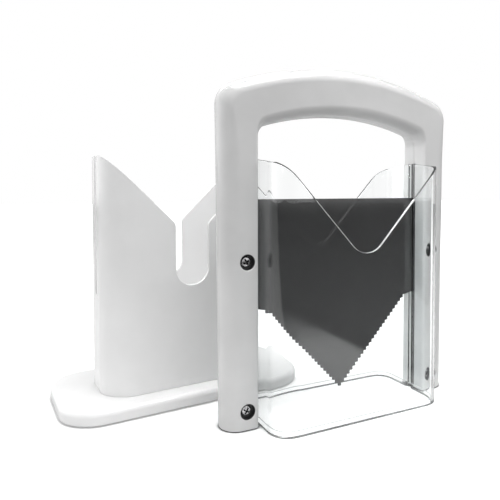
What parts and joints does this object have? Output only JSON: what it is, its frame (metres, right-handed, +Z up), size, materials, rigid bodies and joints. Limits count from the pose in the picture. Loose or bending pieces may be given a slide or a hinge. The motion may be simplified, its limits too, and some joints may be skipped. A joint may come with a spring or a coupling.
{
  "type": "bagel guillotine slicer",
  "caption": "Bagel guillotine: a V-shaped toothed blade in an arched handle frame with clear shields, and a slotted cradle on a rounded base plate.",
  "frame": {"origin": "on the table, under the middle of the two units together", "axes": "+X along the base's width to the right, +Y to the back, +Z up; the blade unit stands to the front right of the base"},
  "size_m": [0.2768, 0.1798, 0.242],
  "materials": {
    "white_plastic": "glossy white moulded plastic",
    "clear_plastic": "clear moulded acrylic, polished",
    "coated_blade": "stainless steel blade with a dark grey non-stick coating",
    "screw_steel": "bright plated steel",
    "foot_rubber": "soft grey rubber"
  },
  "bodies": {
    "base": {"base_plate": "white_plastic", "cradle": "white_plastic", "base_screw_front_left": "screw_steel", "base_screw_front_right": "screw_steel", "base_screw_back_left": "screw_steel", "base_screw_back_right": "screw_steel", "foot_front_left": "foot_rubber", "foot_front_right": "foot_rubber", "foot_back_left": "foot_rubber", "foot_back_right": "foot_rubber"},
    "blade_unit": {"frame_front": "white_plastic", "frame_back": "white_plastic", "blade": "coated_blade", "shield_front": "clear_plastic", "shield_back": "clear_plastic", "frame_screw_upper_left": "screw_steel", "frame_screw_upper_right": "screw_steel", "frame_screw_lower_left": "screw_steel", "frame_screw_lower_right": "screw_steel"}
  },
  "joints": [
    {"name": "blade_unit_lift", "type": "slide", "parent": "base", "child": "blade_unit", "axis": [0, 0, 1], "range_m": [0, 0.2]}
  ]
}
